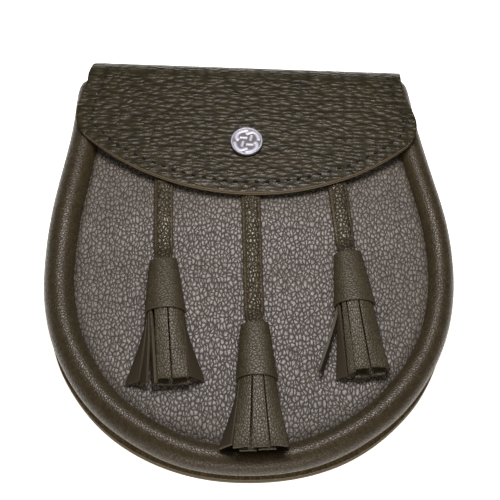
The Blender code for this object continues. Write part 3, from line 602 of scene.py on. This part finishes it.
# Its stitches run down the left side, round the free edge and up the right side
STITCH_LEFT, STITCH_BOTTOM, STITCH_RIGHT, STITCH_PITCH = 8.0 * MM, 5.0 * MM, 6.2 * MM, 4.9 * MM
ROW_RISE = FOLD_AXIS + 6 * MM - corner_y  # from the widest place up to the ends of the row, on the fold
SIDE_STEPS = 21
narrowing = (FLAP_WIDTH - FOLD_WIDTH) / 2
row = []
for k in range(SIDE_STEPS):
    side = 1 - k / SIDE_STEPS
    x = -FOLD_WIDTH / 2 + STITCH_LEFT - narrowing * (1 - ease(side))
    row.append(Vector((x, corner_y + ROW_RISE * side, 0)))
for k, (point, out) in enumerate(zip(edge_path, edge_out)):
    share = k / (len(edge_path) - 1)
    on_left, on_right = max(1 - share * 7, 0), max(1 - (1 - share) * 7, 0)
    more = (STITCH_LEFT - STITCH_BOTTOM) * on_left + (STITCH_RIGHT - STITCH_BOTTOM) * on_right
    row.append(point - out * (STITCH_BOTTOM + more))
for k in range(SIDE_STEPS):
    side = (k + 1) / SIDE_STEPS
    x = FLAP_WIDTH / 2 - STITCH_RIGHT - narrowing * ease(side)
    row.append(Vector((x, corner_y + ROW_RISE * side, 0)))
row, _ = even(row, 240)


def flap_height(point):
    """Height of the flap's face along the stitches."""
    beyond = min(max(point.y - FOLD_AXIS, 0.0), FOLD_RADIUS)
    drop = FOLD_RADIUS - math.sqrt(FOLD_RADIUS**2 - beyond**2)
    return FLAP_TOP - drop + FLAP_WAVE * ripple(point.x, point.y, FLAP_WAVE_LENGTH, 8.0) * 0.5 + 0.05 * MM


flap_row = [on_body(Vector((p.x, p.y, flap_height(p)))) for p in row]
stitch_row("flap_stitches", flap_row, UP, STITCH_PITCH, length=2.5 * MM, sink=-0.2 * MM)
for name, inset in (("tail_stitches_upper", 6 * MM), ("tail_stitches_lower", 2.6 * MM)):
    reach_x, y = FOLD_WIDTH / 2 - 4 * MM, FOLD_AXIS - FLAP_TAIL + inset
    line, _ = even([on_body(Vector((x, y, 0))) for x in (-reach_x, reach_x)], 60)
    stitch_row(name, line, DOWN, STITCH_PITCH, sink=0.2 * MM)

# Snap. A cast cap with a raised rim and a knot of low bands, silver plated and polished, riveted
# through the flap. The hollows keep a darker tarnish, and the stud it presses on stays hidden.
SNAP_RADIUS = 7.5 * MM
CAP_BOTTOM, CAP_HEIGHT = FLAP_TOP + CLEARANCE, 2.1 * MM
cap_rim = CAP_BOTTOM + CAP_HEIGHT
cap_face = cap_rim - 0.55 * MM
CAP_SHIFT = Vector((0.4, -0.7, 0)) * MM  # it was riveted a little off its place
# From the middle of the face over the rim to the middle below: share of the radius, height
CAP_PROFILE = (
    (0.0, cap_face), (0.55, cap_face), (0.78, cap_face), (0.84, cap_face + 0.05 * MM),
    (0.88, cap_rim - 0.12 * MM), (0.915, cap_rim), (0.955, cap_rim - 0.05 * MM), (0.985, cap_rim - 0.3 * MM),
    (1.0, cap_rim - 0.9 * MM), (0.99, CAP_BOTTOM + 0.5 * MM), (0.94, CAP_BOTTOM + 0.05 * MM),
    (0.85, CAP_BOTTOM), (0.30, CAP_BOTTOM), (0.0, CAP_BOTTOM),
)


def cap_at(u, v):
    radius, z = between(CAP_PROFILE, v)
    angle = 2 * math.pi * u
    return Vector((radius * SNAP_RADIUS * math.cos(angle), radius * SNAP_RADIUS * math.sin(angle), z))


def curve_through(points, share):
    """A smooth curve through points."""
    at = share * (len(points) - 1)
    k = min(int(at), len(points) - 2)
    t = at - k
    p0, p1, p2, p3 = (points[min(max(k + i, 0), len(points) - 1)] for i in (-1, 0, 1, 2))
    bend, twist = 2 * p0 - 5 * p1 + 4 * p2 - p3, 3 * p1 - p0 - 3 * p2 + p3
    return 0.5 * (2 * p1 + (p2 - p0) * t + bend * t * t + twist * t**3)


# Half of the knot's bands, which a half turn repeats: middle line and half width in shares of the
# cap's radius, height in mm
KNOT = (
    ([(-0.46, 0.25), (-0.20, 0.24), (0.06, 0.23)], 0.125, 0.57),
    ([(0.30, 0.46), (0.25, 0.22), (0.21, 0.0)], 0.14, 0.57),
    ([(-0.44, 0.00), (-0.62, 0.20), (-0.62, 0.46), (-0.42, 0.67), (-0.15, 0.76), (0.14, 0.80)], 0.175, 0.456),
    ([(-0.12, 0.48), (0.12, 0.60), (0.38, 0.66), (0.58, 0.53), (0.70, 0.30), (0.76, 0.02)], 0.16, 0.418),
    ([(0.36, 0.84), (0.58, 0.70), (0.80, 0.42)], 0.08, 0.304),
)
BAND_SINK, BAND_END = 0.08 * MM, 0.10  # its ends are rounded over that share of a band
cap = shaped_grid(96, 39, cap_at)
for points, half, rise in KNOT:
    for half_turn in (1, -1):
        flat = [Vector((x, y, 0)) * SNAP_RADIUS * half_turn for x, y in points]

        def band_at(u, v):
            along = curve_through(flat, min(v + 0.02, 1)) - curve_through(flat, max(v - 0.02, 0))
            side = Vector((-along.y, along.x, 0)).normalized()
            closing = min(min(v, 1 - v) / BAND_END, 1.0)
            taper = math.sqrt(max(1 - (1 - closing) ** 2, 0.0))
            angle = 2 * math.pi * u
            z = cap_face - BAND_SINK + rise * MM * taper * math.sin(angle)
            return curve_through(flat, v) + side * (half * SNAP_RADIUS * taper * math.cos(angle)) + UP * z

        band = shaped_grid(16, 28, band_at)
        bmesh.ops.recalc_face_normals(band, faces=band.faces)
        join(cap, band)
bmesh.ops.rotate(cap, cent=(0, 0, 0), matrix=Matrix.Rotation(-FLAP_SKEW, 3, "Z"), verts=cap.verts)
bmesh.ops.translate(cap, vec=on_body(Vector((0, SNAP_HEIGHT, 0))) + CAP_SHIFT, verts=cap.verts)

# Silver plate, cast and polished by hand: bright tops, grey tarnish where the cloth didn't reach
silver, tree, shader = new_material("polished_silver_plate")
where = add_node(tree, "ShaderNodeTexCoord").outputs["Object"]
height = add_node(tree, "ShaderNodeSeparateXYZ", Vector=where)
bright = add_node(tree, "ShaderNodeMapRange", {"From Min": cap_face, "From Max": cap_face + 0.12 * MM},
                  Value=height.outputs["Z"])
tone = add_node(tree, "ShaderNodeMixRGB", {"Color1": linear("#4a4644"), "Color2": linear("#86848e")},
                Fac=bright.outputs[0])
rough = add_node(tree, "ShaderNodeMapRange", {"To Min": 0.6, "To Max": 0.52}, Value=bright.outputs[0])
bump = add_node(tree, "ShaderNodeBump", {"Distance": 0.02 * MM}, Height=unevenness(tree, where, 0.6, 2.0))
tree.links.new(tone.outputs[0], shader.inputs["Base Color"])
tree.links.new(rough.outputs[0], shader.inputs["Roughness"])
tree.links.new(bump.outputs[0], shader.inputs["Normal"])
shader.inputs["Metallic"].default_value = 0.6
finish("snap_cap_plate", cap, silver, ["snap_cap"])
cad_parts["snap_base"].data.materials.clear()
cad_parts["snap_base"].data.materials.append(silver)

# Tassel thongs. Flat straps with both margins pressed down, so that the grained middle stands up.
# They start below the flap, lie on the front and run into their collars.
THONG_WIDTH, THONG_LEATHER, THONG_PINCH = 8.8 * MM, 2.5 * MM, 0.2
MARGIN_DROP, MARGIN_START, MARGIN_SPAN = 0.55 * MM, 0.56, 0.14  # shares of the thong's half width
GRAINED_MIDDLE = (-0.31, 0.38)  # from its middle to the left and right, in shares of its width
THONG_STEPS = 60
COLLAR_LENGTH, COLLAR_FLATNESS = 26.4 * MM, 0.66
COLLAR_TOP, COLLAR_RIM = 12.5 * MM, 18.4 * MM
COLLAR_WALL = 1.0 * MM  # its cut edges are pared to this, so that the fringe comes out nearly flush
# Top of each collar, how far it leans to the right in radians, and where its thong starts, in shares
# of half the pouch's width and of its depth or rise
TASSELS = {
    "left": {"top": (-0.410, 0.006), "lean": 0.065, "start": (-0.430, 0.72)},
    "centre": {"top": (0.033, -0.326), "lean": 0.035, "start": (0.010, 0.50)},
    "right": {"top": (0.485, 0.045), "lean": 0.085, "start": (0.413, 0.72)},
}
tassel_edge = plain("dyed_cut_edge", "#352e22", 0.6, 0.35, 0.06)
# Firm cowhide for the tassels: a fine even pebble with a soft gleam along each fold
tassel_hide = leather("tassel_cowhide", "#2f291c", "#251f13", 1.2, depth=0.10, gloss=0.38, fine=0.6,
                      sheen="#dfd9d4", level=0.42)
# The thongs' margins, pressed smooth by the creasing iron
margin_hide = leather("pressed_margin", "#2f281d", "#261f15", 1.2, depth=0.05, gloss=0.4, coords="Object")
# Matt, fibrous hide for the strips that lie on their side, painted darker as painted shade where they face
# away from the lamp
side_strip_shade_hide = plain("side_strips_painted_shade", "#241d12", 0.85, 0.7, 0.12)
# Thong leather: small tight pebbles that stand clear of their creases
thong_hide = leather("thong_cowhide", "#332c22", "#120e07", 1.7, stretch=(0.9, 1.15), depth=0.32, gloss=0.3,
                     coords="Object", sheen="#e2d9c8", level=0.5)

for side, tassel in TASSELS.items():
    top = Vector((tassel["top"][0] * BODY_WIDTH / 2, tassel["top"][1] * BODY_DEPTH, 0))
    start = Vector((tassel["start"][0] * BODY_WIDTH / 2, tassel["start"][1] * BODY_RISE, 0))
    down = Vector((math.sin(tassel["lean"]), -math.cos(tassel["lean"]), 0))
    rim = top + down * COLLAR_LENGTH
    tassel.update(top=top, rim=rim, down=down, across=Vector((-down.y, down.x, 0)))
    thong_path, _ = even([start, top, top.lerp(rim, 0.3)], THONG_STEPS)
    course = (top - start).normalized()

    def thong_at(u, v):
        point = thong_path[round(v * THONG_STEPS)]
        near = ease(1 - (point - top).dot(-down) / THONG_WIDTH)
        along = course.lerp(down, near)
        sideways = Vector((-along.y, along.x, 0)).normalized()
        half = THONG_WIDTH / 2 * (1 - THONG_PINCH * near)
        under = [point + sideways * s * half for s in (-1, 0, 1)]
        seat = max(rest_height(place.x, place.y) for place in under)
        c, s = math.cos(2 * math.pi * u), math.sin(2 * math.pi * u)
        a, b = math.copysign(abs(c) ** 0.35, c), math.copysign(abs(s) ** 0.5, s)
        pressed = max(min((abs(a) - MARGIN_START) / MARGIN_SPAN, 1.0), 0.0) if s > 0 else 0.0
        thick = THONG_LEATHER - MARGIN_DROP * pressed
        wave = 0.1 * MM * noise.noise((point.y / (9 * MM), a, 4.0))
        climb = (COLLAR_TOP * COLLAR_FLATNESS - THONG_LEATHER) / 2 * near
        edge_wave = 1 + 0.02 * noise.noise((point.y / (7 * MM), 9.0, c))
        return point + sideways * (a * half * edge_wave) + UP * (seat + climb + wave + thick * (b + 1) / 2)

    thong = shaped_grid(48, THONG_STEPS, thong_at)
    for face in thong.faces:
        aside = (face.calc_center_median() - start).dot(Vector((-course.y, course.x, 0))) / THONG_WIDTH
        face.material_index = 0 if GRAINED_MIDDLE[0] < aside < GRAINED_MIDDLE[1] else 1
    bmesh.ops.holes_fill(thong, edges=[edge for edge in thong.edges if edge.is_boundary])
    bmesh.ops.recalc_face_normals(thong, faces=thong.faces)
    piece = finish(f"thong_{side}_hide", thong, thong_hide, [f"thong_{side}"])
    piece.data.materials.append(margin_hide)

# Tassel collars. Each is a fan of firm hide rolled to a cone round the thong and the fringe, glued
# where it meets at the back, then pressed, so that it lies flat with crisp cut edges.
for side, tassel in TASSELS.items():
    top, rim, down, across = (tassel[key] for key in ("top", "rim", "down", "across"))

    def collar_at(u, v):
        centre = top.lerp(rim, v)
        width = COLLAR_TOP + (COLLAR_RIM - COLLAR_TOP) * v
        angle = 2 * math.pi * u
        c, s = (math.copysign(abs(part) ** 0.92, part) for part in (math.cos(angle), math.sin(angle)))
        uneven = 1 + 0.02 * noise.noise((c * 2, v * 3, s + len(side)))
        skewed_cut = 0.5 * MM * math.cos(angle + 0.6) * (v - 0.5)
        z = rest_height(centre.x, centre.y) + width * COLLAR_FLATNESS / 2 * (1 + s * uneven)
        return centre + across * (width / 2 * c * uneven) + down * skewed_cut + UP * z

    girth = 2.6 * (COLLAR_TOP + COLLAR_RIM) / 2
    collar = shaped_grid(56, 24, collar_at, flat=lambda u, v: (u * girth, v * COLLAR_LENGTH))
    bmesh.ops.recalc_face_normals(collar, faces=collar.faces)
    finish(f"collar_{side}_hide", collar, tassel_hide, [f"collar_{side}"],
           wall=COLLAR_WALL, rounding=0.2 * MM, cut=tassel_edge)

# Tassel skirts. A strip of hide is cut into a fringe and rolled up, so its strips hang in two layers
# from the collar. They are 1.3 mm thick, lie on the front and splay out at the sides.
STRIP_LENGTH, STRIP_LEATHER = 29.7 * MM, 1.3 * MM
# Each strip: the angles of its left and right edge round the collar's mouth, in degrees from the right
# by the top, then both edges at the tips, as (across, height) in mm, and its length as a share
SKIRTS = {
    "left": [
        (126, 82, (-4.6, 7.0), (1.3, 7.6), 1.05),
        (80, 14, (1.9, 7.6), (8.9, 6.8), 1.05),
        (20, -30, (9.6, 6.6), (15.8, 0.9), 1.03),
        (139, 152, (-6.0, 6.9), (-7.6, 2.6), 1.10),
        (152, 178, (-9.4, 5.4), (-13.4, 0.9), 1.06),
        (165, 200, (-12.8, 4.4), (-19.2, 0.9), 1.02),
        (250, 275, (-5.0, 2.6), (2.0, 1.6), 1.10),
        (280, 310, (2.4, 1.6), (9.4, 2.4), 1.10),
    ],
    "centre": [
        (158, 106, (-11.4, 6.6), (-4.3, 7.6), 1.08),
        (104, 70, (-3.4, 7.7), (4.2, 7.7), 1.09),
        (68, 12, (4.6, 7.6), (12.2, 6.2), 1.07),
        (160, 205, (-12.0, 6.4), (-17.6, 0.9), 1.02),
        (16, -25, (11.2, 4.4), (12.8, 1.0), 1.00),
        (235, 262, (-8.6, 2.6), (-1.4, 2.0), 1.09),
        (272, 300, (-0.4, 2.0), (7.0, 2.6), 1.08),
    ],
    "right": [
        (118, 80, (-3.4, 7.2), (3.2, 7.8), 1.03),
        (78, 16, (3.7, 7.8), (10.9, 6.8), 1.02),
        (20, -25, (11.3, 5.6), (12.6, 1.2), 1.01),
        (138, 120, (-6.6, 4.6), (-3.0, 6.2), 1.06),
        (152, 190, (-6.8, 4.2), (-11.6, 1.0), 1.08),
        (165, 205, (-19.6, 5.6), (-18.0, 0.8), 0.98),
        (250, 275, (-3.4, 2.2), (3.0, 1.6), 1.11),
        (280, 310, (3.4, 1.6), (10.0, 2.4), 1.09),
    ],
}
LOW_TIP = 1.5  # mm; a strip whose tip has an edge below this lies on its side
FRINGE_INSET = 1.1  # mm, inside the collar's mouth
MOUTH_HALF, MOUTH_RISE = COLLAR_RIM / MM / 2, COLLAR_RIM / MM / 2 * COLLAR_FLATNESS
STILL_SHARE, ROOT_SHARE = 0.10, 0.12  # of a strip: how much keeps to the mouth's curve, how much is inside
CUT_SHARE = 0.02  # of a strip's angle, lost to the cut at each side
HIDE_INDEX, SHADED_STRIP_INDEX = 0, 2  # each is followed by the material of its cut edge
for side, strips in SKIRTS.items():
    tassel = TASSELS[side]
    rim, down, across = tassel["rim"], tassel["down"], tassel["across"]
    skirt = bmesh.new()
    skirt.loops.layers.uv.new("hide")
    rim_ground = rest_height(rim.x, rim.y)
    for number, (left_root, right_root, left_tip, right_tip, length) in enumerate(strips):
        bow = 1.0 + 0.5 * noise.noise((number * 1.7, len(side), 0.3))
        full_length = STRIP_LENGTH * length

        def strip_at(u, v):
            opened = max((v - STILL_SHARE) / (1 - STILL_SHARE), 0.0)
            spread = opened**1.15
            angle = math.radians(left_root + (right_root - left_root) * (CUT_SHARE + (1 - 2 * CUT_SHARE) * u))
            root = ((MOUTH_HALF - FRINGE_INSET) * math.cos(angle),
                    MOUTH_RISE + (MOUTH_RISE - FRINGE_INSET) * math.sin(angle))
            tip = [(1 - u) * left + u * right for left, right in zip(left_tip, right_tip)]
            aside = root[0] * (1 - spread) + tip[0] * spread
            height = root[1] * (1 - opened) + tip[1] * opened + bow * math.sin(math.pi * opened) * 0.35
            height -= 0.25 * (2 * u - 1) ** 2 * opened
            far = (v * (1 + ROOT_SHARE) - ROOT_SHARE) * full_length
            far += 0.3 * MM * noise.noise((u * 2, number, len(side))) * v
            place = rim + across * (aside * MM) + down * far
            end = rim + across * (tip[0] * MM) + down * full_length
            bridged = rim_ground + (rest_height(end.x, end.y) - rim_ground) * ease(v)
            z = max(bridged + height * MM, rest_height(place.x, place.y) + 0.9 * MM)
            return Vector((place.x, place.y, z))

        strip = shaped_grid(8, 20, strip_at,
                            flat=lambda u, v: (u * 7.5 * MM + number * 20 * MM, v * STRIP_LENGTH))
        for face in strip.faces:
            face.material_index = SHADED_STRIP_INDEX if min(left_tip[1], right_tip[1]) < LOW_TIP else HIDE_INDEX
        middle_angle = math.radians((left_root + right_root) / 2)
        facing = across * math.cos(middle_angle) + UP * math.sin(middle_angle)
        if sum((face.normal.dot(facing) for face in strip.faces), 0.0) < 0:
            bmesh.ops.reverse_faces(strip, faces=strip.faces)
        join(skirt, strip)
    piece = finish(f"skirt_{side}_hide", skirt, tassel_hide, [f"skirt_{side}"],
                   wall=STRIP_LEATHER, rounding=0.2 * MM, cut=tassel_edge)
    piece.data.materials.append(side_strip_shade_hide)
    piece.data.materials.append(tassel_edge)

# Strap loops. Two strips of hide across the upper back, sewn down at both ends, take the belt strap.
# They lie pressed flat, as the pouch rests on them.
LOOP_WIDTH, LOOP_LENGTH, LOOP_LEATHER = 24 * MM, 44 * MM, 1.6 * MM
LOOP_SPREAD, LOOP_ROW = 96 * MM, 46 * MM
LOOP_SEAMS = {"outer": 2.6 * MM, "inner": 7.0 * MM}  # from the loop's end
SEAM_MARGIN, LOOP_PITCH = 3 * MM, 4.4 * MM
for side, x in (("left", -LOOP_SPREAD / 2), ("right", LOOP_SPREAD / 2)):
    loop = bmesh.new()
    bmesh.ops.create_grid(loop, x_segments=16, y_segments=28, size=0.5)
    for vert in loop.verts:
        a, b = vert.co.x * 2, vert.co.y * 2
        corner = 1 - 0.10 * (max(abs(a), abs(b)) ** 8) * min(abs(a), abs(b)) ** 8
        vert.co = (x + a * LOOP_WIDTH / 2 * corner, LOOP_ROW + b * LOOP_LENGTH / 2 * corner, 0.0)
    bmesh.ops.reverse_faces(loop, faces=loop.faces)
    finish(f"strap_loop_{side}_hide", loop, smooth_hide, [f"strap_loop_{side}"],
           wall=LOOP_LEATHER, rounding=0.4 * MM)
    half_seam = LOOP_WIDTH / 2 - SEAM_MARGIN
    for word, end in (("lower", -1), ("upper", 1)):
        for place, inset in LOOP_SEAMS.items():
            y = LOOP_ROW + end * (LOOP_LENGTH / 2 - inset)
            line, _ = even([Vector((x - half_seam, y, 0)), Vector((x + half_seam, y, 0))], 20)
            stitch_row(f"loop_{side}_{word}_stitches_{place}", line, DOWN, LOOP_PITCH, sink=0.2 * MM)

# Floor, light and camera. A seamless pale sheet, one soft lamp above and a little behind, a low one
# from the front that fills the groove at the foot, and the photograph's steep view.
FLOOR_HALF, FLOOR_DROP = 3.0, 0.1 * MM
floor_shape = bmesh.new()
bmesh.ops.create_grid(floor_shape, x_segments=1, y_segments=1, size=FLOOR_HALF)
floor_mesh = bpy.data.meshes.new("floor")
floor_shape.to_mesh(floor_mesh)
floor_shape.free()
floor = bpy.data.objects.new("floor", floor_mesh)
bpy.context.scene.collection.objects.link(floor)
floor.location.z = -FLOOR_DROP
# Matt photographic paper, lit from behind so that it stays white round the pouch
paper, _, shader = new_material("pale_paper")
shader.inputs["Base Color"].default_value = linear("#fbfaf7")
shader.inputs["Roughness"].default_value = 0.9
shader.inputs["Emission Color"].default_value = linear("#fffaf2")
shader.inputs["Emission Strength"].default_value = 0.78
floor.data.materials.append(paper)

for name, place, aim, size, power, colour in (
    ("lamp_above", (0.01, 0.09, 0.385), (0, -0.035, 0), (0.19, 0.13), 2.74, "#fffdfb"),
    ("lamp_front", (0.0, -0.9, 0.36), (0, 0, 0), (0.9, 0.4), 9.5, "#fff8f0"),
):
    light = bpy.data.lights.new(name, "AREA")
    light.shape, light.size, light.size_y, light.energy = "RECTANGLE", *size, power
    light.color = linear(colour)[:3]
    lamp = bpy.data.objects.new(name, light)
    lamp.location = place
    lamp.rotation_euler = (Vector(aim) - Vector(place)).to_track_quat("-Z", "Y").to_euler()
    lamp.visible_camera = False
    bpy.context.scene.collection.objects.link(lamp)

world = bpy.data.worlds.new("studio")
bpy.context.scene.world = world
world.use_nodes = True
world.node_tree.nodes["Background"].inputs["Color"].default_value = linear("#f4f3f6")
world.node_tree.nodes["Background"].inputs["Strength"].default_value = 0.11
bpy.context.scene.view_settings.view_transform = "Standard"

ELEVATION, DISTANCE = math.radians(62), 0.7
camera = bpy.data.cameras.new("camera")
camera.lens, camera.sensor_width = 108.2, 36
viewer = bpy.data.objects.new("camera", camera)
target = Vector((1.0 * MM, 17.6 * MM + WIDEST_ROW, 0))
viewer.location = target + DISTANCE * Vector((0, -math.cos(ELEVATION), math.sin(ELEVATION)))
viewer.rotation_euler = (math.pi / 2 - ELEVATION, 0, 0)
bpy.context.scene.collection.objects.link(viewer)
bpy.context.scene.camera = viewer
